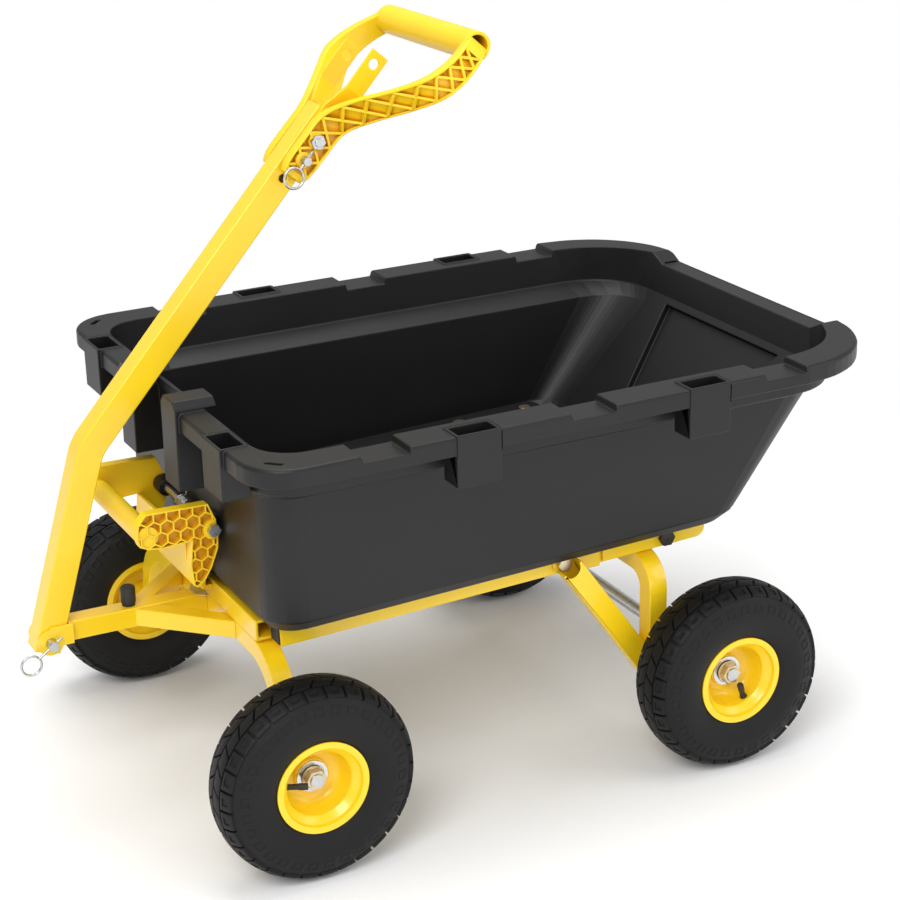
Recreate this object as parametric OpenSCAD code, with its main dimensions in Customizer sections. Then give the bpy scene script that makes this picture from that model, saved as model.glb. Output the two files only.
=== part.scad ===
// Tipping garden dump cart: a moulded tub hinged on a tube chassis with four pneumatic wheels,
// a steered front axle with an A-frame tongue, a bent pull handle and a tub release lever.
// Front (the pulled end) is -X, the dump end is +X, left is -Y, and z = 0 is the ground.

/* [Wheels] */
// Outer radius of the tyre
tyre_r = 120; // [116:1:122]
// Width of the tyre at its bulge
tyre_w = 80; // [72:1:80]
// Thickness of the tyre's sidewall
tyre_wall = 6; // [4:0.5:8]
// Radius of the rim's flange
rim_r = 56; // [52:1:60]
// Width of the rim between its flange edges
rim_w = 66; // [60:1:70]
// Sheet thickness of the rim
rim_t = 2.5; // [2:0.5:4]
// Radius of the wheel spindle
spindle_r = 8; // [7:0.5:9]
// Outer radius of the wheel bearing
bearing_r = 17.5; // [16:0.5:19]
// Width of one wheel bearing
bearing_w = 11; // [9:1:13]
// Length of the wheel's hub
hub_len = 42; // [38:1:44]
// Distance of the hub's outer end behind the wheel's centre plane
hub_set = 1; // [0:0.5:4]
// Distance between front and rear axles
wheelbase = 559; // [540:1:580]
// Half of the distance between left and right wheel centre planes
half_track = 290.5; // [288:0.5:300]

/* [Chassis] */
// Side of the square rail tube
rail_w = 28; // [26:1:30]
// Wall of the steel tubes
tube_wall = 2; // [1.5:0.5:3]
// Distance from a wheel's centre plane in to the rail's centre line
rail_set = 101.5; // [100.5:0.5:104]
// Height of the rails' centre line above the axles, at the front axle
rail_up = 136; // [135:1:138]
// Rise of the rails towards the rear, in degrees
rail_rake = 2.3; // [2:0.1:2.4]
// Reach of the rails in front of the front axle
rail_nose = -4; // [-5:1:2]
// Height of the front arch's top face above the axles
arch_up = 120; // [117:1:120]
// Side of the square arch tube
arch_w = 25; // [22:1:26]
// Distance from a wheel's centre plane in to the arch leg's centre line
leg_set = 68; // [66.5:0.5:70]
// Outer radius of the front arch's bends
bend_front_r = 88; // [70:1:95]
// Outer radius of the rear arch's bends
bend_rear_r = 45; // [40:1:48]
// How far the arch legs reach below the axle
leg_drop = 14; // [13:1:20]
// Distance of the rear arch in front of the rear axle
rear_arch_lead = 65.5; // [65:0.5:68]
// Height of the front bolster tube
bolster_h = 26; // [22:1:26]
// Width of the front bolster tube
bolster_w = 30; // [26:1:34]
// Radius of the steering kingpin
kingpin_r = 8; // [6:0.5:9]
// Distance of the strut bolt in front of the tub pivot
strut_lead = 145; // [135:1:150]
// Depth of the strut tube
strut_h = 28; // [24:1:30]

/* [Tongue] */
// Side of the square drawbar tube
drawbar_w = 25; // [22:1:26]
// Distance of the handle pin in front of the front axle
pin_reach = 211.5; // [205:0.5:220]
// Height of the handle's pin above the axles
pin_up = 101; // [99:1:104]
// Radius of the handle pin
pin_r = 6; // [5:0.5:7]
// Distance of the brace apex in front of the front axle
apex_reach = 102; // [90:1:106]
// Half spread of the braces at the arch
brace_spread = 89; // [80:1:98]

/* [Handle] */
// Side of the square handle tube
handle_w = 32; // [30:1:34]
// Length of the handle below its bend
handle_low = 236; // [225:1:245]
// Length of the handle tube above its bend
handle_up = 480; // [470:1:500]
// Lean of the lower handle from the horizontal, in degrees
handle_low_a = 73.7; // [72:0.1:76]
// Lean of the upper handle from the horizontal, in degrees
handle_up_a = 49; // [48:0.5:52]
// Radius of the handle's bend on its centre line
handle_bend_r = 60; // [45:1:80]
// Half length of the D-grip's bar
grip_half = 116; // [110:1:122]
// Outer radius of the D-grip's bar
grip_r = 17.5; // [15:0.5:19]
// Radius of the hitch pin holes in the two tabs
hitch_r = 6.5; // [5:0.5:8]

/* [Tub] */
// Half width of the tub at the outside of its rim
rim_half = 327; // [322:1:330]
// Overhang of the rim beyond the band below it
rim_over = 43; // [40:1:46]
// Height of the rim's raised parts above the axles, at the tub's pivot
rim_up = 391.5; // [386:0.5:396]
// Rise of the rim towards the rear, in degrees
rim_rake = 0.74; // [0.5:0.02:1]
// Height of the rim's skirt
skirt_h = 22; // [18:1:26]
// Reach of the rim in front of the front axle
rim_nose = 64; // [60:1:66]
// Reach of the rim behind the rear axle
rim_tail = 220; // [210:1:230]
// Wall thickness of the tub
tub_wall = 4; // [3:0.5:5]
// Depth of the steps in the rim
step_drop = 8; // [5:1:11]
// Length of the steps in the rim
step_len = 55; // [40:1:60]
// Length of a stake pocket's mouth
pocket_len = 48; // [40:1:52]
// Depth of a stake pocket's mouth across the rim
pocket_dep = 26; // [22:1:27]
// Distance of the tub pivot in front of the rear axle
pivot_lead = 40; // [38:1:42]
// Radius of the tub's pivot bolts
pivot_r = 6; // [5:0.5:7]
// Thickness of the hinge brackets
bracket_t = 4; // [3:0.5:5]

/* [Release lever] */
// Height of the release lever's pivot above the axles
lever_up = 236; // [233:1:240]
// Radius of the lever's pivot rod
lever_pin_r = 5; // [4:0.5:6]
// Half width of the lever over its cheeks
lever_half = 95; // [92:1:98]
// Thickness of a lever cheek
cheek_t = 14; // [12:1:16]
// Radius of the lever's grip bar
lever_bar_r = 13; // [11:0.5:14]

/* [Fits] */
// Radial clearance of a running fit
run_gap = 0.05; // [0.02:0.01:0.09]
// Side clearance beside a moving piece
side_gap = 0.4; // [0.2:0.1:1]

/* [Hidden] */
$fn = 48;
yellow = "#f2c81a";
charcoal = "#37383a";
rubber = "#222324";
zinc = "#b9bcc0";

axle_f = -wheelbase / 2;
axle_r = wheelbase / 2;
axle_z = tyre_r;
rail_z_front = axle_z + rail_up;
arch_front_top = axle_z + arch_up;
pin_z = axle_z + pin_up;
rim_z = axle_z + rim_up;
lever_z = axle_z + lever_up;
hub_r = bearing_r + 3;
hub_y1 = half_track - hub_set;
hub_y0 = hub_y1 - hub_len;
bearing_lip = 2;
nut_y = hub_y1 + bearing_lip + side_gap;
shoulder_y = hub_y0 - bearing_lip - side_gap;
spindle_end = nut_y + 14;
leg_y = half_track - leg_set;
leg_out = leg_y + arch_w / 2;

rake_rise = tan(rail_rake);
rail_x0 = axle_f - rail_nose;
pivot_x = axle_r - pivot_lead;
pivot_z = rail_z(pivot_x);
rail_x1 = pivot_x + 22;
rail_y = half_track - rail_set;
rail_in = rail_y - rail_w / 2;
rail_out = rail_y + rail_w / 2;

arch_rear_x = axle_r - rear_arch_lead;
arch_rear_top = rail_z(arch_rear_x - arch_w / 2) - rail_w / 2 / cos(rail_rake);
bolster_z0 = rail_z_front - rail_w / 2;
bolster_z1 = bolster_z0 + bolster_h;
arch_mid_z = arch_front_top - arch_w / 2;
strut_x = pivot_x - strut_lead;
cross_x = strut_x - 35;
plate_t = 4;
washer_t = bolster_z0 - arch_front_top;
bracket_x0 = -90;
bracket_x1 = 32;
bracket_low = pivot_x - arch_rear_x - arch_w / 2 - 2;

pin_x = axle_f - pin_reach;
clevis_in = handle_w / 2 + side_gap;
clevis_t = 4;
clevis_x1 = pin_x + 24;
bend = [pin_x + handle_low * cos(handle_low_a), 0, pin_z + handle_low * sin(handle_low_a)];
bar_s = handle_up + 151;
bar_n = 56;

tub_z0 = pivot_z + rail_w / 2 / cos(rail_rake) + side_gap;
ledge_z0 = pivot_z + pivot_lead + tyre_r + 9;
rim_rise = tan(rim_rake);
ledge_z1 = ledge_z0 + 14;
wall_half = half_track - tyre_w / 2 - 2.5;
tub_front = axle_f - 20;
rim_x0 = axle_f - rim_nose;
rim_x1 = axle_r + rim_tail;
band_half = rim_half - rim_over;
ledge_t = sign(band_half - 3 - wall_half) * 3;
band_front = rim_x0 + pocket_dep + 2 * tub_wall;
panel_z = tub_z0 + 29;
panel_half = rail_out + bracket_t + 8;
panel_under = pivot_z + (panel_z - tub_wall - pivot_z) * cos(rail_rake);
panel_over = pivot_z + (panel_z - pivot_z) * cos(rail_rake);
lever_x = tub_front - 10;
clip_x = pin_x - 28;
clip_z = pin_z - 20;
clip_ring = 12;
clip_wire = 1.6;
clip_tail = 14;

part_x0 = clip_x - clip_ring - clip_wire;
x_mid = (part_x0 + rim_x1) / 2;

function rail_z(x) = rail_z_front + (x - axle_f) * rake_rise;

// Shared shapes

module y_rod(r, y0, y1, x, z)
  translate([x, y0, z]) rotate([-90, 0, 0]) cylinder(r = r, h = y1 - y0);

module y_hex(flats, y0, y1, x, z)
  translate([x, y0, z]) rotate([-90, 0, 0]) cylinder(d = flats / cos(30), h = y1 - y0, $fn = 6);

// Wire from point a to point b
module wire(a, b, r) {
  d = b - a;
  translate(a)
    rotate([0, acos(d[2] / norm(d)), atan2(d[1], d[0])])
      cylinder(r = r, h = norm(d), $fn = 16);
}

// Square tube along +X from the origin, open at both ends
module square_tube(len, w, h, wall)
  difference() {
    translate([0, -w / 2, -h / 2]) cube([len, w, h]);
    translate([-1, -w / 2 + wall, -h / 2 + wall]) cube([len + 2, w - 2 * wall, h - 2 * wall]);
  }

module both_sides() {
  children();
  mirror([0, 1, 0]) children();
}

// Places a wheel piece that is drawn round the z axis, with its outer face towards +z
module at_wheel(x, side)
  translate([x, side * half_track, axle_z])
    rotate([side * -90, 0, 0])
      children();

// Rounded rectangle from x0 to x1 as points for a loft: z is its height above the tub's pivot,
// and it rises by rise towards the rear
function ring(x0, x1, half, r0, r1, z, rise, n = 5) = [
  for (p = concat(
    [for (i = [0 : n]) [x1 - r1 + r1 * cos(90 * i / n), half - r1 + r1 * sin(90 * i / n)]],
    [for (i = [0 : n]) [x0 + r0 - r0 * sin(90 * i / n), half - r0 + r0 * cos(90 * i / n)]],
    [for (i = [0 : n]) [x0 + r0 - r0 * cos(90 * i / n), -half + r0 - r0 * sin(90 * i / n)]],
    [for (i = [0 : n]) [x1 - r1 + r1 * sin(90 * i / n), -half + r1 - r1 * cos(90 * i / n)]]
  )) [p[0], p[1], z + rise * (p[0] - pivot_x)]
];

// Closed skin over a stack of rings, from the lowest to the highest
module loft(rings) {
  n = len(rings[0]);
  top = len(rings) - 1;
  sides = [
    for (k = [0 : top - 1], i = [0 : n - 1], half = [0, 1])
      let (j = (i + 1) % n, a = k * n, b = (k + 1) * n)
        half == 0 ? [a + i, b + i, b + j] : [a + i, b + j, a + j]
  ];
  polyhedron(
    points = [for (r = rings, p = r) p],
    faces = concat([[for (i = [0 : n - 1]) i]], sides, [[for (i = [n - 1 : -1 : 0]) top * n + i]])
  );
}

// Corner points of an outline moved inwards by d, for points that run anticlockwise
function inset(pts, d) = let (n = len(pts)) [
  for (i = [0 : n - 1]) let (
    a = pts[i] - pts[(i + n - 1) % n],
    b = pts[(i + 1) % n] - pts[i],
    na = [-a[1], a[0]] / norm(a),
    nb = [-b[1], b[0]] / norm(b)
  ) pts[i] + d * (na + nb) / (1 + na * nb)
];

// Wheels

bead_r = rim_r - 5;
bulge_r = (bead_r + tyre_r) / 2;
shoulder_r = tyre_r - 11;
tyre_bulge = tyre_w / 2;
tube_slack = 8.5;
bead_half = rim_w / 2 - rim_t - side_gap;

seat_r = rim_r + 1;

// Half width of the tyre's sidewall at radius r
function sidewall(r) = r < bulge_r
  ? tyre_bulge - (tyre_bulge - bead_half) * pow((bulge_r - r) / (bulge_r - seat_r), 2)
  : tyre_bulge - 5 * pow((r - bulge_r) / (shoulder_r - bulge_r), 2);

function tyre_side(n = 8) = concat(
  [[bead_r, bead_half]],
  [for (i = [0 : n]) let (r = seat_r + (shoulder_r - seat_r) * i / n) [r, sidewall(r)]]
);

tread_half = tyre_bulge - 9;

module tyre_section() {
  outer = concat(tyre_side(), [[tyre_r - 3, tyre_bulge - 8], [tyre_r, tread_half - 6]]);
  cavity_r0 = bead_r + tyre_wall;
  cavity_r1 = tyre_r - 2 * tyre_wall;
  inner = [[cavity_r1, tread_half - 6], [shoulder_r - 6, tyre_bulge - 5 - tyre_wall],
    [bulge_r, tyre_bulge - tyre_wall], [cavity_r0, bead_half - tyre_wall / 2],
    [bead_r, bead_half - tyre_wall]];
  half = concat(inner, outer);
  last = len(half) - 1;
  polygon(concat(half, [for (i = [last : -1 : 0]) [half[i][0], -half[i][1]]]));
}

lug_count = 24;
lug_depth = 4.5;

module tyre(x, side)
  color(rubber)
    at_wheel(x, side)
      difference() {
        rotate_extrude() tyre_section();
        for (i = [0 : lug_count - 1], end = [1, -1])
          rotate(360 / lug_count * (i + (end > 0 ? 0 : 0.5)))
            translate([tyre_r - lug_depth, -3, end > 0 ? 5 : -5 - tyre_w])
              cube([lug_depth + 5, 6, tyre_w]);
      }

valve_front_a = 178;
valve_rear_a = 62;
valve_z = 12;
valve_r = 4;
valve_lean = 22;
valve_stem = 24;
well_r = rim_r - 14;

// Toroidal tube with its valve: a neck through the rim and a stem that leans out of the dish
module inner_tube(x, side)
  color(rubber)
    at_wheel(x, side) {
      tube_r = (tyre_r - 2 * tyre_wall - bead_r) / 2 - 3;
      neck = bead_r + tube_r - well_r;
      tube_half = tyre_bulge - tyre_wall - tube_slack;
      rotate_extrude() translate([bead_r + 1 + tube_r, 0]) scale([1, tube_half / tube_r]) circle(r = tube_r);
      rotate(x < 0 ? valve_front_a : side * valve_rear_a)
        translate([well_r - rim_t - 3, 0, valve_z]) {
          rotate([0, 90, 0]) cylinder(r = valve_r, h = neck);
          rotate([0, valve_lean - 90, 0]) {
            cylinder(r = valve_r - 0.6, h = valve_stem);
            translate([0, 0, valve_stem * 0.55]) cylinder(r = valve_r, h = valve_stem * 0.45);
          }
        }
    }

module wheel_rim(x, side)
  color(yellow)
    at_wheel(x, side)
      difference() {
        union() {
          rotate_extrude() rim_section();
          rotate_extrude() translate([bearing_r, -hub_set - hub_len]) square([hub_r - bearing_r, hub_len]);
        }
        rotate(x < 0 ? valve_front_a : side * valve_rear_a)
          translate([well_r - rim_t - 4, 0, valve_z])
            rotate([0, 90, 0]) cylinder(r = valve_r + side_gap, h = 14);
      }

// Half section of the pressed rim: flanges, bead seats, well, and the dished disc down to the hub
module rim_section() {
  flange = rim_w / 2;
  seat = flange - 6;
  dish = [[well_r - rim_t, 8], [well_r - 4.5, 3], [well_r - 8, -2], [well_r - 13, -5.5],
    [hub_r - 1, -hub_set - 6]];
  for (side = [1, -1])
    polygon([[rim_r, side * flange], [rim_r, side * (flange - rim_t)], [bead_r, side * (flange - rim_t)],
      [bead_r - 1, side * seat], [well_r, side * (seat - 8)], [well_r, 0], [well_r - rim_t, 0],
      [well_r - rim_t, side * (seat - 7)], [bead_r - 1 - rim_t, side * (seat + 1)],
      [bead_r - rim_t, side * flange]]);
  polygon(concat(dish, [for (i = [len(dish) - 1 : -1 : 0]) dish[i] + [i == 0 ? rim_t / 2 : 0, -rim_t]]));
}

// Two flanged ball bearings, one pressed into each end of the hub
module bearings(x, side)
  color(zinc)
    at_wheel(x, side)
      for (end = [1, -1])
        translate([0, 0, (end > 0 ? 0 : -hub_len) - hub_set])
          rotate_extrude()
            difference() {
              union() {
                translate([spindle_r + run_gap, end > 0 ? -bearing_w : 0])
                  square([bearing_r - spindle_r - run_gap, bearing_w]);
                translate([spindle_r + run_gap, end > 0 ? 0 : -bearing_lip])
                  square([bearing_r + 1.5 - spindle_r - run_gap, bearing_lip]);
              }
              translate([spindle_r + 3, end * bearing_lip - 0.8]) square([bearing_r - spindle_r - 6, 1.6]);
            }

// Spindle with a shoulder against the hub, from inside the arch leg to the axle nut
module spindle(x) {
  y_rod(spindle_r, leg_y - arch_w / 2, spindle_end, x, axle_z);
  y_rod(spindle_r + 4, leg_out, shoulder_y, x, axle_z);
}

module axle_nut(x)
  difference() {
    union() {
      y_rod(bearing_r - 4, nut_y, nut_y + 2, x, axle_z);
      y_hex(22, nut_y + 2, spindle_end - 2, x, axle_z);
    }
    y_rod(spindle_r, 0, spindle_end + 1, x, axle_z);
  }

module rear_axle_nuts()
  color(zinc) both_sides() axle_nut(axle_r);

module front_axle_nuts()
  color(zinc) both_sides() axle_nut(axle_f);

module front_spindles()
  color(zinc) both_sides() spindle(axle_f);

// Chassis

module rail()
  color(yellow)
    difference() {
      translate([rail_x0, rail_y, rail_z(rail_x0)])
        rotate([0, -rail_rake, 0])
          square_tube((rail_x1 - rail_x0) / cos(rail_rake), rail_w, rail_w, tube_wall);
      y_rod(pivot_r, 0, rim_half, pivot_x, pivot_z);
      y_rod(pivot_r - 1, 0, rim_half, strut_x, rail_z(strut_x));
    }

plug_proud = 1.5;
plug_len = 16;

// Cupped plug pressed into the open end of each rail
module rail_plugs()
  color(rubber)
    both_sides()
      translate([rail_x0, rail_y, rail_z(rail_x0)])
        rotate([0, -rail_rake, 0]) {
          inside = rail_w - 2 * tube_wall;
          difference() {
            translate([-plug_proud, -inside / 2, -inside / 2]) cube([plug_len, inside, inside]);
            translate([2, -inside / 2 + 3, -inside / 2 + 3]) cube([plug_len, inside - 6, inside - 6]);
          }
        }

module front_bolster()
  color(yellow)
    difference() {
      translate([axle_f, 0, (bolster_z0 + bolster_z1) / 2])
        rotate([0, 0, 90])
          translate([-rail_in, 0, 0])
            square_tube(2 * rail_in, bolster_w, bolster_h, 2 * tube_wall);
      translate([axle_f, 0, bolster_z0 - 1]) cylinder(r = kingpin_r, h = 2 * tube_wall + 2);
    }

module rear_cross_member()
  color(yellow)
    translate([cross_x, -rail_in, rail_z(cross_x)])
      rotate([0, 0, 90])
        square_tube(2 * rail_in, arch_w, arch_w, tube_wall);

// Side outline of an arch in its own plane with bends of radius r, inset, from top down to foot
module arch_outline(r, top, foot, inset)
  difference() {
    union() {
      for (s = [1, -1])
        intersection() {
          translate([s * (leg_out - r), top - r]) circle(r = r - inset, $fn = 72);
          translate([s > 0 ? leg_out - r : -leg_out, top - r]) square([r, r]);
        }
      translate([-leg_out + r, top - r]) square([2 * (leg_out - r), r - inset]);
      translate([-leg_out + inset, foot]) square([2 * (leg_out - inset), top - r - foot]);
    }
    for (s = [1, -1])
      translate([s * (leg_out - r), top - r]) circle(r = r - arch_w + inset, $fn = 72);
    translate([-leg_out + r, foot - 1]) square([2 * (leg_out - r), top - foot - arch_w + inset + 1]);
    translate([-leg_out + arch_w - inset, foot - 1])
      square([2 * (leg_out - arch_w + inset), top - r - foot + 1]);
  }

module arch_body(x, r, top, inset)
  translate([x - arch_w / 2 + inset, 0, 0])
    rotate([90, 0, 90])
      linear_extrude(height = arch_w - 2 * inset)
        arch_outline(r, top, axle_z - leg_drop - inset, inset);

module rear_arch()
  color(yellow)
    difference() {
      union() {
        difference() {
          arch_body(arch_rear_x, bend_rear_r, arch_rear_top, 0);
          arch_body(arch_rear_x, bend_rear_r, arch_rear_top, tube_wall);
        }
        both_sides() axle_lug();
      }
      y_rod(spindle_r, -half_track, half_track, axle_r, axle_z);
    }

// Flat lug that carries the rear axle behind an arch leg
module axle_lug() {
  x0 = arch_rear_x + arch_w / 2;
  translate([x0, leg_y - 8, axle_z - leg_drop]) cube([axle_r - x0, 16, 2 * leg_drop]);
  y_rod(leg_drop, leg_y - 8, leg_y + 8, axle_r, axle_z);
}

// Rounded plate bolted to the rail's outer face, with a tube down to the foot of the arch leg
module strut() {
  leg_x = arch_rear_x - arch_w / 2;
  bolt_clear = 12;
  top = [strut_x + 2, rail_out + plate_t + 10, rail_z(strut_x)];
  foot = [leg_x, top[1], axle_z + 4];
  run = foot - top;
  plate_x1 = pivot_x + bracket_x0 - 3;
  difference() {
    union() {
      y_rod(strut_h / 2, rail_out, rail_out + plate_t, strut_x, rail_z(strut_x));
      translate([strut_x, rail_out, rail_z(strut_x) - strut_h / 2])
        cube([plate_x1 - strut_x, plate_t, strut_h]);
      difference() {
        translate(top)
          rotate([0, atan2(-run[2], run[0]), 0])
            square_tube(norm(run) + strut_h, 22, strut_h, tube_wall);
        translate([leg_x, 0, 0]) cube([200, half_track, 400]);
        cube([axle_r, half_track, axle_z - leg_drop]);
        y_rod(bolt_clear, rail_out + plate_t, half_track, strut_x, rail_z(strut_x));
      }
    }
    y_rod(pivot_r - 1, 0, half_track, strut_x, rail_z(strut_x));
  }
}

module rear_struts()
  color(yellow) both_sides() strut();

// Hex bolt with a nut inside the rail line, clamping from y0 to y1
module cross_bolt(r, y0, y1, x, z, head) {
  y_rod(r, y0 - 12, y1, x, z);
  y_hex(head, y1, y1 + 6, x, z);
  difference() {
    y_hex(head, y0 - 9, y0, x, z);
    y_rod(r, y0 - 10, y0 + 1, x, z);
  }
}

module strut_bolts()
  color(zinc)
    both_sides()
      cross_bolt(pivot_r - 1, rail_in, rail_out + plate_t, strut_x, rail_z(strut_x), 17);

module pivot_bolts()
  color(zinc)
    both_sides()
      cross_bolt(pivot_r, rail_in - bracket_t - 2 * side_gap, rail_out + bracket_t + 2 * side_gap,
        pivot_x, pivot_z, 19);

module rear_axle()
  color(zinc) {
    y_rod(spindle_r, -spindle_end, spindle_end, axle_r, axle_z);
    both_sides()
      difference() {
        y_rod(spindle_r + 4, leg_y + 8, shoulder_y, axle_r, axle_z);
        y_rod(spindle_r, 0, half_track, axle_r, axle_z);
      }
  }

module kingpin()
  color(zinc) {
    nut_top = arch_front_top - arch_w - side_gap;
    translate([axle_f, 0, nut_top - 18])
      cylinder(r = kingpin_r, h = bolster_z0 + 4 * tube_wall - nut_top + 18);
    translate([axle_f, 0, bolster_z0 + 2 * tube_wall]) cylinder(r = kingpin_r + 2, h = 6);
    difference() {
      translate([axle_f, 0, arch_front_top + side_gap]) cylinder(r = 28, h = washer_t - side_gap);
      translate([axle_f, 0, arch_front_top]) cylinder(r = kingpin_r, h = washer_t + 1);
    }
    difference() {
      translate([axle_f, 0, nut_top - 12]) cylinder(d = 26 / cos(30), h = 12, $fn = 6);
      translate([axle_f, 0, nut_top - 13]) cylinder(r = kingpin_r, h = 14);
    }
  }

striker_x0 = lever_x - 10;
striker_t = 5;
striker_half = 40;

// Bent plate on the bolster: it rises in front of the tub to a lip behind the lever's nose
module latch_striker()
  color(yellow)
    translate([0, striker_half, 0])
      rotate([90, 0, 0])
        linear_extrude(height = 2 * striker_half) {
          x1 = axle_f - bolster_w / 2;
          web = tub_front - 3;
          low = bolster_z1 - 10;
          top = lever_z - 63;
          polygon([[x1, low], [x1, low + striker_t], [web, low + striker_t], [web, top], [striker_x0, top],
            [striker_x0, top - striker_t], [web - striker_t, top - striker_t], [web - striker_t, low]]);
        }

// Steered front axle and tongue

module front_arch()
  color(yellow)
    difference() {
      arch_body(axle_f, bend_front_r, arch_front_top, 0);
      difference() {
        arch_body(axle_f, bend_front_r, arch_front_top, tube_wall);
        translate([axle_f, 0, 0]) cylinder(r = kingpin_r + 4, h = 400);
      }
      translate([axle_f, 0, 0]) cylinder(r = kingpin_r + run_gap, h = 400);
      both_sides() y_rod(spindle_r, 0, half_track, axle_f, axle_z);
    }

drawbar_x1 = axle_f - arch_w / 2;

module drawbar()
  color(yellow)
    translate([clevis_x1 + clevis_t, 0, arch_mid_z])
      square_tube(drawbar_x1 - clevis_x1 - clevis_t, drawbar_w, drawbar_w, tube_wall);

module tongue_braces()
  color(yellow)
    both_sides()
      difference() {
        a = [axle_f - apex_reach, 0, arch_mid_z];
        b = [drawbar_x1, brace_spread, arch_mid_z];
        translate(a)
          rotate([0, 0, atan2(b[1] - a[1], b[0] - a[0])])
            translate([-20, 0, 0])
              square_tube(norm(b - a) + 60, 22, 22, tube_wall);
        translate([drawbar_x1, -200, 0]) cube([200, 500, 400]);
        translate([-600, -400, 0]) cube([600, 400 + drawbar_w / 2, 400]);
      }

bumper_r = 9;
bumper_x = axle_f - 108;

module tongue_bumper()
  color(rubber)
    translate([bumper_x, 0, arch_mid_z + drawbar_w / 2])
      rotate_extrude()
        difference() {
          square([bumper_r, 25]);
          translate([bumper_r, 25]) circle(r = 2);
          translate([bumper_r - 1, -1]) square([2, 5]);
        }

module clevis()
  color(yellow)
    difference() {
      union() {
        translate([clevis_x1, -clevis_in - clevis_t, arch_mid_z - drawbar_w / 2])
          cube([clevis_t, 2 * (clevis_in + clevis_t), drawbar_w]);
        both_sides() {
          translate([pin_x, clevis_in, arch_mid_z - drawbar_w / 2])
            cube([clevis_x1 - pin_x, clevis_t, drawbar_w]);
          y_rod(16, clevis_in, clevis_in + clevis_t, pin_x, pin_z);
        }
      }
      y_rod(pin_r + run_gap, -rim_half, rim_half, pin_x, pin_z);
    }

// Handle pin with its hairpin clip

pin_y0 = -clevis_in - clevis_t - 13;

module handle_pin()
  color(zinc)
    difference() {
      union() {
        y_rod(pin_r, pin_y0, clevis_in + clevis_t + side_gap + 3, pin_x, pin_z);
        y_rod(pin_r + 3, clevis_in + clevis_t + side_gap, clevis_in + clevis_t + side_gap + 4, pin_x, pin_z);
      }
      hairpin(pin_x, pin_y0 + 6, pin_z, [clip_x - pin_x, clip_z - pin_z]);
    }

// Hairpin clip in the plane y, through a pin at [x, z], with its ring at [x, z] + to
module hairpin(x, y, z, to) {
  dir = to / norm(to);
  translate([x + to[0], y, z + to[1]])
    rotate([90, 0, 0])
      rotate_extrude() translate([clip_ring, 0]) circle(r = clip_wire, $fn = 16);
  wire([x - dir[0] * clip_tail, y, z - dir[1] * clip_tail],
       [x + to[0] - dir[0] * clip_ring, y, z + to[1] - dir[1] * clip_ring], clip_wire);
}

module handle_pin_clip()
  color(zinc)
    hairpin(pin_x, pin_y0 + 6, pin_z, [clip_x - pin_x, clip_z - pin_z]);

// Pull handle

// Frame of the upper handle: x along the tube from the bend, z towards its front face
module on_upper_handle()
  translate(bend) rotate([0, -handle_up_a, 0]) children();

// Centre line of the handle about its pin, as [x, z, direction], with ends drawn past by extra
handle_turn = handle_low_a - handle_up_a;
handle_cut = handle_bend_r * tan(handle_turn / 2);
handle_tail = handle_w / 2 - 2;
bend_steps = 8;

function handle_path(extra) = let (
  low = [cos(handle_low_a), sin(handle_low_a)],
  up = [cos(handle_up_a), sin(handle_up_a)],
  knee = handle_low * low,
  hub = knee + handle_cut * up + handle_bend_r * [up[1], -up[0]]
) concat(
  [concat(-(handle_tail + extra) * low, handle_low_a)],
  [for (i = [0 : bend_steps]) let (a = handle_low_a - handle_turn * i / bend_steps)
    concat(hub + handle_bend_r * [-sin(a), cos(a)], a)],
  [concat(knee + (handle_up + extra) * up, handle_up_a)]
);

// Side outline of the bent handle tube, inset by wall
module handle_outline(wall) {
  half = handle_w / 2 - wall;
  path = handle_path(wall);
  left = [for (p = path) [p[0] - half * sin(p[2]), p[1] + half * cos(p[2])]];
  right = [for (i = [len(path) - 1 : -1 : 0]) let (p = path[i])
    [p[0] + half * sin(p[2]), p[1] - half * cos(p[2])]];
  polygon(concat(left, right));
}

module handle_body(wall)
  translate([pin_x, handle_w / 2 - wall, pin_z])
    rotate([90, 0, 0])
      linear_extrude(height = handle_w - 2 * wall)
        handle_outline(wall);

lock_s = handle_up - 64;
bolt_s = handle_up - 38;
spare_s = handle_up - 94;
lock_r = 5;

module handle_tube()
  color(yellow)
    difference() {
      handle_body(0);
      handle_body(tube_wall);
      y_rod(pin_r + run_gap, -50, 50, pin_x, pin_z);
      on_upper_handle()
        for (s = [lock_s, bolt_s, spare_s])
          y_rod(lock_r, -50, 50, s, 0);
    }

tab_t = 4;
tab_half = 40;
tab_h = 24;
tab_reach = 86;
hitch_reach = 72;

// Hitch tabs: flat bars on the tube's sides that spread past its end to a pair of drilled ears
module hitch_tabs()
  color(yellow)
    on_upper_handle()
      both_sides()
        difference() {
          translate([0, 0, -tab_h / 2])
            linear_extrude(height = tab_h)
              polygon([[handle_up - 80, handle_w / 2], [handle_up + 4, handle_w / 2],
                [handle_up + 34, tab_half - tab_t], [handle_up + tab_reach, tab_half - tab_t],
                [handle_up + tab_reach, tab_half], [handle_up + 32, tab_half],
                [handle_up + 2, handle_w / 2 + tab_t],
                [handle_up - 80, handle_w / 2 + tab_t]]);
          y_rod(hitch_r, 0, 100, handle_up + hitch_reach, 0);
          for (s = [lock_s, bolt_s])
            y_rod(lock_r, 0, 100, s, 0);
        }

grip_in = handle_w / 2 + tab_t;
grip_t = 14;
lattice_rib = 4;
lattice_cells = 6;
lattice_s0 = handle_up - 10;
lattice_s1 = bar_s - grip_r - 4;

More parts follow.
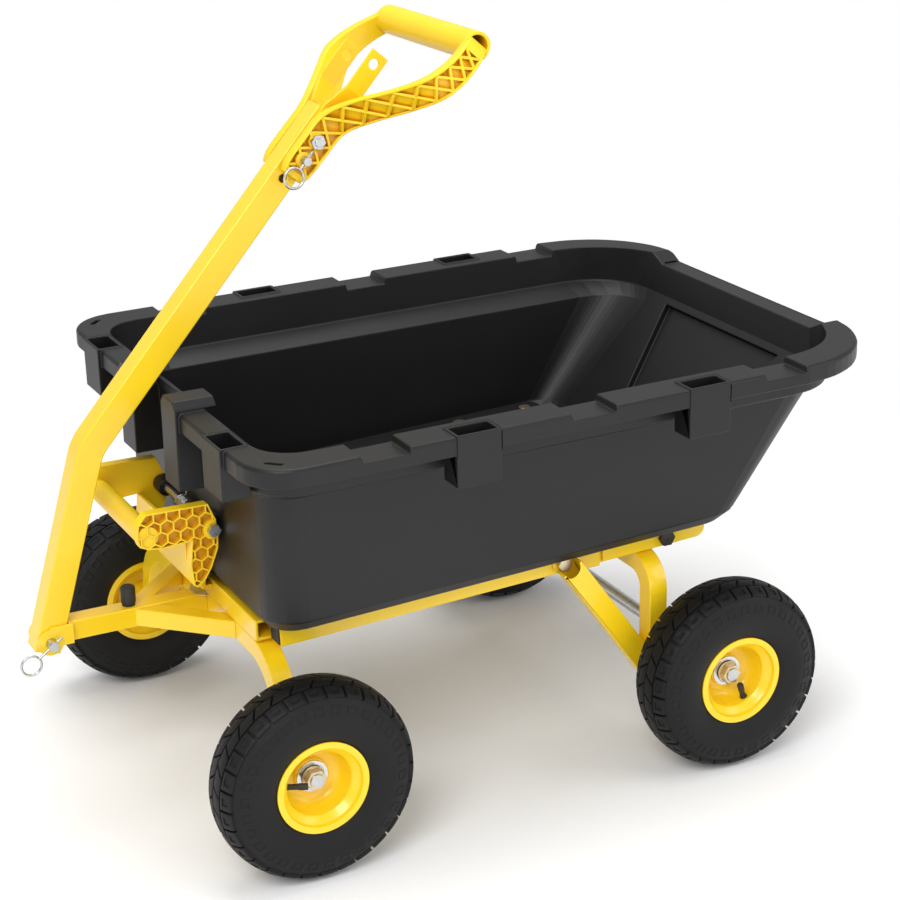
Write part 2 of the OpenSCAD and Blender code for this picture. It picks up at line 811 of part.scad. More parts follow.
// Stations of a grip arm along the tube: [distance, outer face, middle of its depth, depth]
grip_arm = [
  [lock_s - 20, grip_in + grip_t, -2, 28],
  [lock_s - 10, grip_in + grip_t, -2, 34],
  [handle_up - 10, grip_in + grip_t, -5, 36],
  [handle_up + 20, grip_half - 52, -14, 40],
  [handle_up + 50, grip_half - 12, -25, 38],
  [handle_up + 76, grip_half + 20, -33, 36],
  [handle_up + 100, grip_half + 26, -40, 32],
  [handle_up + 124, grip_half + 20, -47, 29],
  [bar_s - 8, grip_half + 8, -bar_n + 3, 28],
  [bar_s + 2, grip_half, -bar_n, 27]
];

// Section of an arm, from skin inside its outer face to past outside it
function arm_ring(a, skin, past) = [
  [a[0], a[1] - skin, a[2] - a[3] / 2], [a[0], a[1] + past, a[2] - a[3] / 2],
  [a[0], a[1] + past, a[2] + a[3] / 2], [a[0], a[1] - skin, a[2] + a[3] / 2]
];

// Edge of the lattice at the end of cell i: end is -1 for the lower and 1 for the upper edge
function lattice_edge(i, end) = let (
  d = lattice_s0 + (lattice_s1 - lattice_s0) * i / lattice_cells,
  mid = lookup(d, [for (a = grip_arm) [a[0], a[2]]]),
  depth = lookup(d, [for (a = grip_arm) [a[0], a[3]]])
) [d, mid + end * (depth / 2 - lattice_rib)];

module handle_grip()
  color(yellow)
    on_upper_handle()
      difference() {
        union() {
          both_sides() grip_cheek();
          y_rod(grip_r, -grip_half, grip_half, bar_s, -bar_n);
        }
        y_rod(grip_r - 4, -grip_half - 1, grip_half + 1, bar_s, -bar_n);
        for (d = [lock_s, bolt_s])
          y_rod(lock_r, -100, 100, d, 0);
      }

// Arm with pockets between crossed ribs in its outer face
module grip_cheek()
  difference() {
    loft([for (a = grip_arm) arm_ring(a, grip_t, 0)]);
    intersection() {
      loft([for (a = grip_arm) arm_ring(a, grip_t - 3, 5)]);
      translate([0, 2 * grip_half, 0])
        rotate([90, 0, 0])
          linear_extrude(height = 2 * grip_half)
            for (i = [0 : lattice_cells - 1]) {
              cell = [lattice_edge(i, -1), lattice_edge(i + 1, -1), lattice_edge(i + 1, 1),
                lattice_edge(i, 1)];
              middle = (cell[0] + cell[1] + cell[2] + cell[3]) / 4;
              for (k = [0 : 3])
                polygon(inset([cell[k], cell[(k + 1) % 4], middle], lattice_rib / 2));
            }
    }
  }

module grip_bolt()
  color(zinc)
    on_upper_handle() {
      y_rod(lock_r, -grip_in - grip_t - 8, grip_in + grip_t, bolt_s, 0);
      y_hex(16, grip_in + grip_t, grip_in + grip_t + 5, bolt_s, 0);
      difference() {
        y_hex(16, -grip_in - grip_t - 6, -grip_in - grip_t, bolt_s, 0);
        y_rod(lock_r, -grip_in - grip_t - 7, 0, bolt_s, 0);
      }
    }

lock_y0 = -grip_in - grip_t - 12;

module lock_pin()
  color(zinc)
    on_upper_handle()
      difference() {
        union() {
          y_rod(lock_r, lock_y0, grip_in + grip_t, lock_s, 0);
          y_rod(lock_r + 3, grip_in + grip_t, grip_in + grip_t + 4, lock_s, 0);
        }
        hairpin(lock_s, lock_y0 + 6, 0, [-24, 0]);
      }

module lock_pin_clip()
  color(zinc)
    on_upper_handle()
      hairpin(lock_s, lock_y0 + 6, 0, [-24, 0]);

// Tub

module tub_outer()
  loft([
    ring(tub_front + 12, axle_r + 38, wall_half - 18, 34, 34, tub_z0, rake_rise),
    ring(tub_front + 3, axle_r + 56, wall_half - 6, 42, 42, tub_z0 + 14, rake_rise),
    ring(tub_front - 2, axle_r + 172, wall_half, 46, 70, ledge_z0, rim_rise),
    ring(band_front - 4, axle_r + 184, band_half - 3, 50, 90, ledge_z1, rim_rise),
    ring(band_front - 6, axle_r + rim_tail - 20, band_half, 54, 118, rim_z - 3, rim_rise)
  ]);

// Foot and head of the sloping rear wall inside the tub, as distances behind the rear axle
slope_foot = 51;
slope_head = 167;

module tub_inner()
  loft([
    ring(tub_front + 12 + tub_wall, axle_r + 34, wall_half - 22, 30, 30, tub_z0 + 6, rake_rise),
    ring(tub_front + 4 + tub_wall, axle_r + slope_foot, wall_half - 10, 38, 38, tub_z0 + 18, rake_rise),
    ring(tub_front - 2 + tub_wall, axle_r + slope_head, wall_half - tub_wall, 42, 66, ledge_z0 + ledge_t,
      rim_rise),
    ring(band_front - 4 + tub_wall, axle_r + 179, band_half - 3 - tub_wall, 46, 86, ledge_z1 + ledge_t,
      rim_rise),
    ring(band_front - 6 + tub_wall, axle_r + rim_tail - 25, band_half - tub_wall, 50, 114, rim_z + 1,
      rim_rise)
  ]);

// Raised floor panel that the rails nest under, grown by wall
module floor_panel(grow)
  loft([
    ring(axle_f + 22 - grow, pivot_x + 50 + grow, panel_half + grow, 20, 20, tub_z0 - 1 + grow, rake_rise),
    ring(axle_f + 32 - grow, pivot_x + 42 + grow, panel_half - 6 + grow, 16, 16, panel_z - tub_wall + grow,
      rake_rise)
  ]);

module rim_flange()
  difference() {
    loft([
      ring(rim_x0, rim_x1, rim_half, 58, 140, rim_z - skirt_h, rim_rise),
      ring(rim_x0, rim_x1, rim_half, 58, 140, rim_z - 3, rim_rise),
      ring(rim_x0 + 3, rim_x1 - 3, rim_half - 3, 55, 137, rim_z, rim_rise)
    ]);
    loft([
      ring(rim_x0 + tub_wall, rim_x1 - tub_wall, rim_half - tub_wall, 54, 136, rim_z - skirt_h - 1,
        rim_rise),
      ring(rim_x0 + tub_wall, rim_x1 - tub_wall, rim_half - tub_wall, 54, 136, rim_z - 11, rim_rise)
    ]);
    tub_inner();
  }

panel_depth = 9;

// Trapezoid pressed into the sloping rear wall, grown by the tub's wall for its outside
module rear_panel(grow, up) {
  foot = [axle_r + slope_foot, tub_z0 + 18 + rake_rise * (axle_r + slope_foot - pivot_x)];
  head = [axle_r + slope_head, ledge_z0 + 3 + rim_rise * (axle_r + slope_head - pivot_x)];
  run = head - foot;
  outline = [[24, -88], [norm(run) + 8, -132], [norm(run) + 8, 132], [24, 88]];
  translate([foot[0], 0, foot[1]])
    rotate([0, -atan2(run[1], run[0]), 0])
      translate([0, 0, -panel_depth - grow])
        linear_extrude(height = panel_depth + grow + up)
          polygon(inset(outline, -grow));
}

// Places of the stake pockets: two along each side and two across the front
side_pockets = [axle_f + 198, axle_r - 60];
front_pocket_y = 205;
rim_steps = [axle_f + 86, axle_f + 345, axle_r + 47];
pocket_proud = 1.5;
pocket_h = 60;
front_x0 = rim_x0 - 5;

// Frame on the rim's raked top, at x along the tub
module on_rim(x)
  translate([pivot_x, 0, rim_z]) rotate([0, -rim_rake, 0]) translate([x - pivot_x, 0, 0]) children();

// Box of a pocket below the rim's top, and of its mouth where inset is the wall
module pocket_box(inset) {
  len = pocket_len + 2 * tub_wall;
  depth = pocket_dep + 2 * tub_wall - 2 * inset;
  translate([-len / 2 + inset, -depth / 2, -pocket_h + inset])
    cube([len - 2 * inset, depth, pocket_h + pocket_proud]);
}

module at_pockets() {
  y = rim_half + 1 - pocket_dep / 2 - tub_wall;
  for (x = side_pockets, side = [1, -1])
    on_rim(x) translate([0, side * y, 0]) children();
  for (side = [1, -1])
    on_rim(front_x0 + pocket_dep / 2 + tub_wall)
      translate([0, side * front_pocket_y, 0]) rotate(90) children();
}

block_in = handle_w / 2 + 34;
block_out = 97;
block_z0 = lever_z + 54;
block_up = 13;

// Raised block beside the handle's notch in the front rim
module front_block()
  translate([front_x0, block_in, 0])
    rotate([90, 0, 90])
      linear_extrude(height = tub_front + 1 - front_x0) {
        w = block_out - block_in;
        top = rim_z + block_up + rim_rise * (rim_x0 - pivot_x);
        polygon([[0, block_z0], [w, block_z0], [w, top - 9], [w - 8, top], [8, top], [0, top - 9]]);
      }

ear_y0 = 58;
ear_y1 = lever_half - cheek_t - side_gap;

module lever_ear()
  difference() {
    union() {
      translate([lever_x, ear_y0, lever_z - 11]) cube([tub_front + 2 - lever_x, ear_y1 - ear_y0, 22]);
      y_rod(11, ear_y0, ear_y1, lever_x, lever_z);
    }
    y_rod(lever_pin_r, 0, 200, lever_x, lever_z);
  }

floor_bolt_x = [pivot_x - 80, pivot_x + 22];
tub_bolt_r = 4;

// Frame that leans with the rails about the tub's pivot
module on_rake()
  translate([pivot_x, 0, pivot_z]) rotate([0, -rail_rake, 0]) translate([-pivot_x, 0, -pivot_z]) children();

module tub_body()
  difference() {
    union() {
      difference() {
        union() {
          tub_outer();
          rim_flange();
          both_sides() front_block();
          at_pockets() pocket_box(0);
          rear_panel(tub_wall, 2);
        }
        tub_inner();
        rear_panel(0, 30);
        rim_cuts();
      }
      intersection() {
        tub_outer();
        floor_panel(tub_wall);
      }
      both_sides() lever_ear();
    }
    floor_panel(0);
    at_pockets() pocket_box(tub_wall);
    on_rake()
      both_sides()
        for (x = floor_bolt_x)
          translate([x, rail_y, panel_z - 20]) cylinder(r = tub_bolt_r, h = 40);
  }

// Everything above the seam just under the ledge, where the rim's moulding joins the basin
module above_seam()
  loft([
    ring(rim_x0 - 60, rim_x1 + 60, rim_half + 60, 20, 20, ledge_z0 - 1, rim_rise),
    ring(rim_x0 - 60, rim_x1 + 60, rim_half + 60, 20, 20, rim_z + 60, rim_rise)
  ]);

// The rim's side of the seam, with the pockets whole
module rim_zone() {
  above_seam();
  at_pockets() pocket_box(0);
}

module tub()
  color(charcoal)
    difference() {
      tub_body();
      rim_zone();
    }

module tub_rim()
  color(charcoal)
    intersection() {
      tub_body();
      rim_zone();
    }

lip_half = 172;
lip_drop = 12;

// Steps along the rim, the low rear lip and the notch that the handle leans into
module rim_cuts() {
  for (x = rim_steps)
    on_rim(x)
      translate([0, 0, -step_drop])
        rotate([90, 0, 0])
          linear_extrude(height = 3 * rim_half, center = true)
            polygon([[-step_len / 2, 0], [step_len / 2, 0], [step_len / 2 + 5, 20],
              [-step_len / 2 - 5, 20]]);
  on_rim(rim_x1 - 60)
    translate([0, 0, -lip_drop])
      rotate([90, 0, 90])
        linear_extrude(height = 100)
          polygon([[-lip_half, 0], [lip_half, 0], [lip_half + 28, lip_drop + 2],
            [-lip_half - 28, lip_drop + 2]]);
  translate([rim_x0 - 5, -block_in, rim_z - 37]) cube([band_front - rim_x0 - 3, 2 * block_in, 60]);
}

// Channel brackets under the tub floor that straddle the rails and turn on their ends
module hinge_brackets()
  color(yellow)
    on_rake()
      both_sides()
        difference() {
          union() {
            for (y = [rail_in - side_gap, rail_out + side_gap + bracket_t])
              translate([pivot_x, y, pivot_z])
                rotate([90, 0, 0])
                  linear_extrude(height = bracket_t)
                    bracket_outline();
            translate([pivot_x + bracket_x0, rail_in - side_gap - bracket_t, panel_under - bracket_t])
              cube([bracket_x1 - bracket_x0, rail_w + 2 * (side_gap + bracket_t), bracket_t]);
          }
          y_rod(pivot_r + run_gap, 0, rim_half, pivot_x, pivot_z);
          for (x = floor_bolt_x)
            translate([x, rail_y, panel_z - 40]) cylinder(r = tub_bolt_r, h = 60);
        }

bracket_top = panel_under - pivot_z;
bracket_nose = (tub_z0 - side_gap - pivot_z + bracket_low) / 2;

// Side outline of a bracket about the pivot: it is rounded below the tub's edge
module bracket_outline() {
  translate([bracket_x0, -bracket_low]) square([bracket_x1 - bracket_x0, bracket_low + bracket_top]);
  translate([bracket_x1, -bracket_low]) square([13, 2 * bracket_nose]);
  translate([bracket_x1 + 13, bracket_nose - bracket_low]) circle(r = bracket_nose);
}

module tub_bolts()
  color(zinc)
    on_rake()
      both_sides()
        for (x = floor_bolt_x) {
          z0 = panel_under - bracket_t;
          translate([x, rail_y, z0 - 9]) cylinder(r = tub_bolt_r, h = panel_over + 9 - z0);
          translate([x, rail_y, panel_over]) cylinder(r = 2 * tub_bolt_r, h = 3);
          difference() {
            translate([x, rail_y, z0 - 7]) cylinder(d = 13 / cos(30), h = 7, $fn = 6);
            translate([x, rail_y, z0 - 8]) cylinder(r = tub_bolt_r, h = 9);
          }
        }

// Release lever

module lever_pivot_rod()
  color(zinc) {
    y_rod(lever_pin_r, -lever_half - 6, lever_half + 6, lever_x, lever_z);
    both_sides() y_hex(14, lever_half + side_gap, lever_half + 6, lever_x, lever_z);
  }

spring_wire = 1.2;
spring_r = lever_pin_r + spring_wire + 1.5;
spring_turns = 6;
spring_pitch = 4;
spring_rings = 8;

// Centre line of the return spring: a helix round the rod, with one tail over the lever's panel
// and one tail up the tub's front wall
function spring_point(i) = let (a = 360 * i / spring_rings)
  [lever_x + spring_r * cos(a), spring_pitch * (i / spring_rings - spring_turns / 2),
    lever_z + spring_r * sin(a)];
spring_first = -spring_rings / 4;
spring_last = spring_turns * spring_rings;
spring_path = concat(
  [spring_point(spring_first) - [34, 0.2, 0]],
  [for (i = [spring_first : spring_last]) spring_point(i)],
  [spring_point(spring_last) + [0, 0.2, 30]]
);
echo(spring_gap = min([for (i = [spring_first : spring_last - spring_rings])
  norm(spring_point(i + spring_rings) - spring_point(i)) - 2 * spring_wire]));

function ring_at(path, i, r, sides) = let (
  a = path[max(i - 1, 0)],
  b = path[min(i + 1, len(path) - 1)],
  t = (b - a) / norm(b - a),
  u = cross(t, [0, 1, 0.01]),
  un = u / norm(u),
  v = cross(t, un)
) [for (k = [0 : sides - 1]) path[i] + r * (cos(360 * k / sides) * un + sin(360 * k / sides) * v)];

module swept_tube(path, r, sides = 6)
  loft([for (i = [0 : len(path) - 1]) ring_at(path, i, r, sides)]);

module lever_spring()
  color(zinc) swept_tube(spring_path, spring_wire);

bar_dx = -79;
bar_dz = 5;

// Side outline of a lever cheek, about the pivot
cheek_outline = [[-81, 34], [-91, 22], [-93, 5], [-90, -5], [-79, -10], [-60, -12], [-27, -9.5],
  [-30, -40], [-27, -66], [-22, -69], [-12, -60], [-4, -47], [5, -24], [6, -8], [4, 12], [-5, 33]];

comb_r = 8;
comb_wall = 2;

// Cheek with a honeycomb of pockets on its outer face, solid round the pivot
module lever_cheek()
  translate([lever_x, lever_half, lever_z])
    rotate([90, 0, 0])
      difference() {
        linear_extrude(height = cheek_t) polygon(cheek_outline);
        translate([0, 0, -1])
          linear_extrude(height = cheek_t - 3)
            difference() {
              intersection() {
                polygon(inset(cheek_outline, comb_wall));
                honeycomb();
              }
              circle(r = 2.4 * lever_pin_r);
            }
      }

module honeycomb() {
  step = comb_r * sqrt(3) + comb_wall;
  for (row = [-6 : 3], col = [-7 : 1])
    translate([(col + (row % 2 == 0 ? 0 : 0.5)) * step, row * step * sqrt(3) / 2])
      rotate(30) circle(r = comb_r, $fn = 6);
}

// Set-back front panel that joins the cheeks and ends in the latch nose
module lever_panel()
  translate([lever_x, lever_half - cheek_t, lever_z])
    rotate([90, 0, 0])
      linear_extrude(height = 2 * (lever_half - cheek_t))
        polygon([[-31, -9.5], [-27, -9.5], [-26, -40], [-12, -60], [-22, -69], [-27, -66], [-30, -40]]);

module release_lever()
  color(yellow)
    difference() {
      union() {
        both_sides() lever_cheek();
        lever_panel();
        y_rod(lever_bar_r, -lever_half + 2, lever_half - 2, lever_x + bar_dx, lever_z + bar_dz);
      }
      y_rod(lever_pin_r + run_gap, -200, 200, lever_x, lever_z);
    }

// Assembly

module place() translate([-x_mid, 0, 0]) children();

place() tyre(axle_f, -1);  // tyre_front_left
place() tyre(axle_f, 1);  // tyre_front_right
place() tyre(axle_r, -1);  // tyre_rear_left
place() tyre(axle_r, 1);  // tyre_rear_right
place() inner_tube(axle_f, -1);  // inner_tube_front_left
place() inner_tube(axle_f, 1);  // inner_tube_front_right
place() inner_tube(axle_r, -1);  // inner_tube_rear_left
place() inner_tube(axle_r, 1);  // inner_tube_rear_right
place() wheel_rim(axle_f, -1);  // wheel_rim_front_left
place() wheel_rim(axle_f, 1);  // wheel_rim_front_right
place() wheel_rim(axle_r, -1);  // wheel_rim_rear_left
place() wheel_rim(axle_r, 1);  // wheel_rim_rear_right
place() bearings(axle_f, -1);  // bearings_front_left
place() bearings(axle_f, 1);  // bearings_front_right
place() bearings(axle_r, -1);  // bearings_rear_left
place() bearings(axle_r, 1);  // bearings_rear_right
place() mirror([0, 1, 0]) rail();  // rail_left
place() rail();  // rail_right
place() rail_plugs();
place() front_bolster();
place() rear_cross_member();
place() rear_arch();
place() rear_struts();
place() strut_bolts();
place() rear_axle();
place() rear_axle_nuts();
place() pivot_bolts();
place() kingpin();
place() latch_striker();
place() front_arch();
place() front_spindles();
place() front_axle_nuts();
place() drawbar();
place() tongue_braces();
place() tongue_bumper();
place() clevis();
place() handle_pin();
place() handle_pin_clip();
place() handle_tube();
place() hitch_tabs();
place() handle_grip();
place() grip_bolt();
place() lock_pin();
place() lock_pin_clip();
place() tub();
place() tub_rim();
place() hinge_brackets();
place() tub_bolts();
place() lever_pivot_rod();
place() lever_spring();
place() release_lever();
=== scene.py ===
import math
import bpy
from mathutils import Matrix, Vector


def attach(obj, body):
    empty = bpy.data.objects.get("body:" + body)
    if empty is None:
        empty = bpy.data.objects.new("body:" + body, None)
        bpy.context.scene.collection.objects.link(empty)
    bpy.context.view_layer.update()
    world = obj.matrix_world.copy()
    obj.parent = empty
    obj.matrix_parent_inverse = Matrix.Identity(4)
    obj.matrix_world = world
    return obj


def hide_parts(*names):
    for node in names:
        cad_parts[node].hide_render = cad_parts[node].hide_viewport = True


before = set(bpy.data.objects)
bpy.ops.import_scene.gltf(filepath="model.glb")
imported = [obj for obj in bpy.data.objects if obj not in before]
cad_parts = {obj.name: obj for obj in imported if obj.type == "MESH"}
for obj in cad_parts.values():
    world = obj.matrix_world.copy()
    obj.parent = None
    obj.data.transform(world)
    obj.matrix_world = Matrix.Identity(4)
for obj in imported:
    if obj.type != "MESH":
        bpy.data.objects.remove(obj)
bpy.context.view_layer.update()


# Rails, bolster, cross member, arches, struts, tongue and handle tube: square steel tube, cut, bent and
# welded. Striker, clevis, hitch tabs and hinge channels are folded from plate. All are powder coated in one
# warm yellow, and the coat runs round every edge.

# Colour from its sRGB hex value, in the linear values that Blender takes
def srgb(text):
    parts = [int(text[i:i + 2], 16) / 255 for i in (1, 3, 5)]
    return [*(c / 12.92 if c <= 0.04045 else ((c + 0.055) / 1.055) ** 2.4 for c in parts), 1]


# Node of a tree, with its settings, and with each input set or linked
def add(tree, kind, settings=None, inputs=None):
    made = tree.nodes.new(kind)
    for name, value in (settings or {}).items():
        setattr(made, name, value)
    for name, value in (inputs or {}).items():
        if isinstance(value, bpy.types.NodeSocket):
            tree.links.new(value, made.inputs[name])
        else:
            made.inputs[name].default_value = value
    return made


# New material, with its node tree and its shader
def start_material(name):
    material = bpy.data.materials.new(name)
    material.use_nodes = True
    return material, material.node_tree, material.node_tree.nodes["Principled BSDF"]


# Scale of a pattern, from the size of its patches in mm
def pattern_scale(size_mm):
    return 1000 / size_mm


# Polyester powder coat on steel: a slight drift of the yellow, faint orange peel, a clear gloss
powder_coat, tree, shader = start_material("yellow polyester powder coat")
place = add(tree, "ShaderNodeTexCoord").outputs["Object"]
drift = add(tree, "ShaderNodeTexNoise",
            inputs={"Vector": place, "Scale": pattern_scale(90), "Detail": 3})
coat_colour = add(tree, "ShaderNodeMix", {"data_type": "RGBA"},
                  {"Factor": drift.outputs["Fac"], "A": srgb("#F3C90F"), "B": srgb("#FAD420")})
tree.links.new(coat_colour.outputs["Result"], shader.inputs["Base Color"])
peel = add(tree, "ShaderNodeTexNoise",
           inputs={"Vector": place, "Scale": pattern_scale(2.5), "Detail": 2})
peel_bump = add(tree, "ShaderNodeBump",
                inputs={"Height": peel.outputs["Fac"], "Strength": 0.08, "Distance": 0.0003})
tree.links.new(peel_bump.outputs["Normal"], shader.inputs["Normal"])
coat_shine = add(tree, "ShaderNodeMapRange",
                 inputs={"Value": drift.outputs["Fac"], "To Min": 0.24, "To Max": 0.36})
tree.links.new(coat_shine.outputs["Result"], shader.inputs["Roughness"])
shader.inputs["Coat Weight"].default_value = 0.35
shader.inputs["Coat Roughness"].default_value = 0.12


# Gives a node of the frame its finish, and rounds its edges as the bend or the mould does
def finish_node(node, material, radius, segments=2, flat=True):
    weld_reach, flat_angle, sharp_angle = 0.00002, math.radians(0.3), math.radians(32)
    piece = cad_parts[node]
    piece.data.materials.clear()
    piece.data.materials.append(material)
    weld = piece.modifiers.new("merge", "WELD")
    weld.merge_threshold = weld_reach
    if flat:
        merge = piece.modifiers.new("flat faces", "DECIMATE")
        merge.decimate_type = "DISSOLVE"
        merge.angle_limit = flat_angle
    bevel = piece.modifiers.new("round", "BEVEL")
    bevel.width = radius
    bevel.segments = segments
    bevel.limit_method = "ANGLE"
    bevel.angle_limit = sharp_angle
    bevel.use_clamp_overlap = False
    bevel.loop_slide = False


tube_round, tube_segments, plate_round = 0.0016, 3, 0.0007
for node in ("rail_left", "rail_right", "front_bolster", "rear_cross_member", "rear_arch", "rear_struts",
             "front_arch", "drawbar", "tongue_braces", "handle_tube"):
    finish_node(node, powder_coat, tube_round, tube_segments)
for node in ("latch_striker", "clevis", "hitch_tabs", "hinge_brackets"):
    finish_node(node, powder_coat, plate_round)


# Rail plugs and tongue bumper: black moulded rubber. The plugs are pressed into the open front ends of the
# rails, and the bumper is bolted on the drawbar where the handle comes down.

# Black rubber: a dull skin with a grey bloom, and a fine grit that is drawn coarser here so that it shows
black_rubber, tree, shader = start_material("black moulded rubber")
place = add(tree, "ShaderNodeTexCoord").outputs["Object"]
bloom = add(tree, "ShaderNodeTexNoise",
            inputs={"Vector": place, "Scale": pattern_scale(25), "Detail": 4})
rubber_colour = add(tree, "ShaderNodeMix", {"data_type": "RGBA"},
                    {"Factor": bloom.outputs["Fac"], "A": srgb("#1B1B1C"), "B": srgb("#2B2B2C")})
tree.links.new(rubber_colour.outputs["Result"], shader.inputs["Base Color"])
grit = add(tree, "ShaderNodeTexNoise",
           inputs={"Vector": place, "Scale": pattern_scale(1), "Detail": 2})
grit_bump = add(tree, "ShaderNodeBump",
                inputs={"Height": grit.outputs["Fac"], "Strength": 0.15, "Distance": 0.0004})
tree.links.new(grit_bump.outputs["Normal"], shader.inputs["Normal"])
shader.inputs["Roughness"].default_value = 0.62
rubber_round = 0.0008
for node in ("rail_plugs", "tongue_bumper"):
    finish_node(node, black_rubber, rubber_round)


# Axle, spindles, kingpin, pins, clips, rod and spring: turned, bent or coiled from steel bar and wire, then
# zinc plated. They are pushed through their bores and held by nuts or hairpin clips.

# Zinc plate: bright metal with a faint milky haze
zinc, tree, shader = start_material("bright zinc plate")
place = add(tree, "ShaderNodeTexCoord").outputs["Object"]
haze = add(tree, "ShaderNodeTexNoise",
           inputs={"Vector": place, "Scale": pattern_scale(9), "Detail": 4})
zinc_colour = add(tree, "ShaderNodeMix", {"data_type": "RGBA"},
                  {"Factor": haze.outputs["Fac"], "A": srgb("#B4B6B8"), "B": srgb("#D6D7D6")})
tree.links.new(zinc_colour.outputs["Result"], shader.inputs["Base Color"])
zinc_shine = add(tree, "ShaderNodeMapRange",
                 inputs={"Value": haze.outputs["Fac"], "To Min": 0.2, "To Max": 0.38})
tree.links.new(zinc_shine.outputs["Result"], shader.inputs["Roughness"])
shader.inputs["Metallic"].default_value = 1
wire_round = 0.0003
for node in ("rear_axle", "kingpin", "front_spindles", "handle_pin", "handle_pin_clip", "grip_bolt",
             "lock_pin", "lock_pin_clip", "lever_pivot_rod", "lever_spring"):
    finish_node(node, zinc, wire_round)


# Axle nuts, strut bolts and floor bolts: cold headed steel, zinc plated and dipped in a yellow chromate. The
# floor bolts go through the tub into the hinge channels.

# Chromate: metal with a warm, slightly stained tone beside the white of the zinc
chromate, tree, shader = start_material("yellow chromated zinc plate")
place = add(tree, "ShaderNodeTexCoord").outputs["Object"]
stain = add(tree, "ShaderNodeTexNoise",
            inputs={"Vector": place, "Scale": pattern_scale(7), "Detail": 3})
chromate_colour = add(tree, "ShaderNodeMix", {"data_type": "RGBA"},
                      {"Factor": stain.outputs["Fac"], "A": srgb("#CDBB94"), "B": srgb("#DDD0B2")})
tree.links.new(chromate_colour.outputs["Result"], shader.inputs["Base Color"])
shader.inputs["Metallic"].default_value = 1
shader.inputs["Roughness"].default_value = 0.34
head_round = 0.0006
for node in ("rear_axle_nuts", "front_axle_nuts", "strut_bolts", "tub_bolts"):
    finish_node(node, chromate, head_round)


# Pivot bolts with lock nuts: phosphated steel. They go through the hinge channels and the rails, and the tub
# tips about them.

# Phosphate: nearly black metal with an uneven, oily tone
phosphate, tree, shader = start_material("oiled phosphate steel")
place = add(tree, "ShaderNodeTexCoord").outputs["Object"]
oil = add(tree, "ShaderNodeTexNoise",
          inputs={"Vector": place, "Scale": pattern_scale(6), "Detail": 3})
phosphate_colour = add(tree, "ShaderNodeMix", {"data_type": "RGBA"},
                       {"Factor": oil.outputs["Fac"], "A": srgb("#3A3836"), "B": srgb("#5C5853")})
tree.links.new(phosphate_colour.outputs["Result"], shader.inputs["Base Color"])
shader.inputs["Metallic"].default_value = 1
shader.inputs["Roughness"].default_value = 0.4
finish_node("pivot_bolts", phosphate, head_round)


# Wheels: rims pressed and welded from sheet and coated with the frame, each with two ball bearings of
# ground steel in its hub and a rubber tube whose valve stands in the dish.

# Bearing steel: a bright ground face with small changes of shine
bearing_steel, tree, shader = start_material("ground bearing steel")
place = add(tree, "ShaderNodeTexCoord").outputs["Object"]
grind = add(tree, "ShaderNodeTexNoise",
            inputs={"Vector": place, "Scale": pattern_scale(3), "Detail": 2})
grind_shine = add(tree, "ShaderNodeMapRange",
                  inputs={"Value": grind.outputs["Fac"], "To Min": 0.1, "To Max": 0.22})
tree.links.new(grind_shine.outputs["Result"], shader.inputs["Roughness"])
shader.inputs["Base Color"].default_value = srgb("#D4D6D8")
shader.inputs["Metallic"].default_value = 1
sheet_round, fine_round = 0.0005, 0.0003
corners = {"front_left": (-1, -1), "front_right": (-1, 1), "rear_left": (1, -1), "rear_right": (1, 1)}
for corner in corners:
    finish_node("wheel_rim_" + corner, powder_coat, sheet_round)
    finish_node("inner_tube_" + corner, black_rubber, fine_round)
    finish_node("bearings_" + corner, bearing_steel, fine_round)


# Tyres: black rubber moulded with a block tread. Two staggered rows of crown blocks lean into arrows, a row
# of square blocks with small dents runs round each shoulder, and low pads stand on the upper sidewall.

# Tyre rubber: a deep matt black with a cloudy bloom, and a fine skin that is drawn coarser so that it shows
tread_rubber, tree, shader = start_material("black tyre rubber")
place = add(tree, "ShaderNodeTexCoord").outputs["Object"]
bloom = add(tree, "ShaderNodeTexNoise",
            inputs={"Vector": place, "Scale": pattern_scale(40), "Detail": 4})
tyre_colour = add(tree, "ShaderNodeMix", {"data_type": "RGBA"},
                  {"Factor": bloom.outputs["Fac"], "A": srgb("#09090A"), "B": srgb("#0F0F10")})
tree.links.new(tyre_colour.outputs["Result"], shader.inputs["Base Color"])
skin = add(tree, "ShaderNodeTexNoise",
           inputs={"Vector": place, "Scale": pattern_scale(1.2), "Detail": 2})
skin_bump = add(tree, "ShaderNodeBump",
                inputs={"Height": skin.outputs["Fac"], "Strength": 0.12, "Distance": 0.0003})
tree.links.new(skin_bump.outputs["Normal"], shader.inputs["Normal"])
tyre_shine = add(tree, "ShaderNodeMapRange",
                 inputs={"Value": bloom.outputs["Fac"], "To Min": 0.5, "To Max": 0.64})
tree.links.new(tyre_shine.outputs["Result"], shader.inputs["Roughness"])
shader.inputs["Specular IOR Level"].default_value = 0.3

# Half of the section, as distance from the tyre's middle and radius, in mm
tyre_half = [(0.8, 116.6), (7.5, 116.2), (14, 115.2), (15.6, 114.8), (19, 113.8), (26, 110.8), (30, 108.2),
             (33, 104.3), (34.7, 100.8), (35.2, 99.6), (37.4, 92.2), (37.8, 91), (38.7, 87.5), (39.2, 82),
             (38.8, 76), (37.3, 69), (35, 63), (32.6, 58.2), (31, 56.6), (29.6, 53.5), (28.6, 51.2)]
tyre_inside = [(24, 51.4), (27, 58), (33, 80), (28, 102), (12, 107)]
tread_pitches, pitch_faces = 30, 8
tread_rows = {"crown": (0.8, 14), "shoulder": (15.6, 30), "wall": (34.7, 37.8)}
block_foot, dent_foot, dent_row, pad_foot, pad_hollow = 106, 114, (19, 26), 91, (92.2, 99.6)
dent_steps, pad_steps, pad_sides = (2, 3, 4), (1, 2, 3, 4, 5), (1, 5)
block_height, dent_depth, pad_height = 0.0034, 0.0012, 0.0006
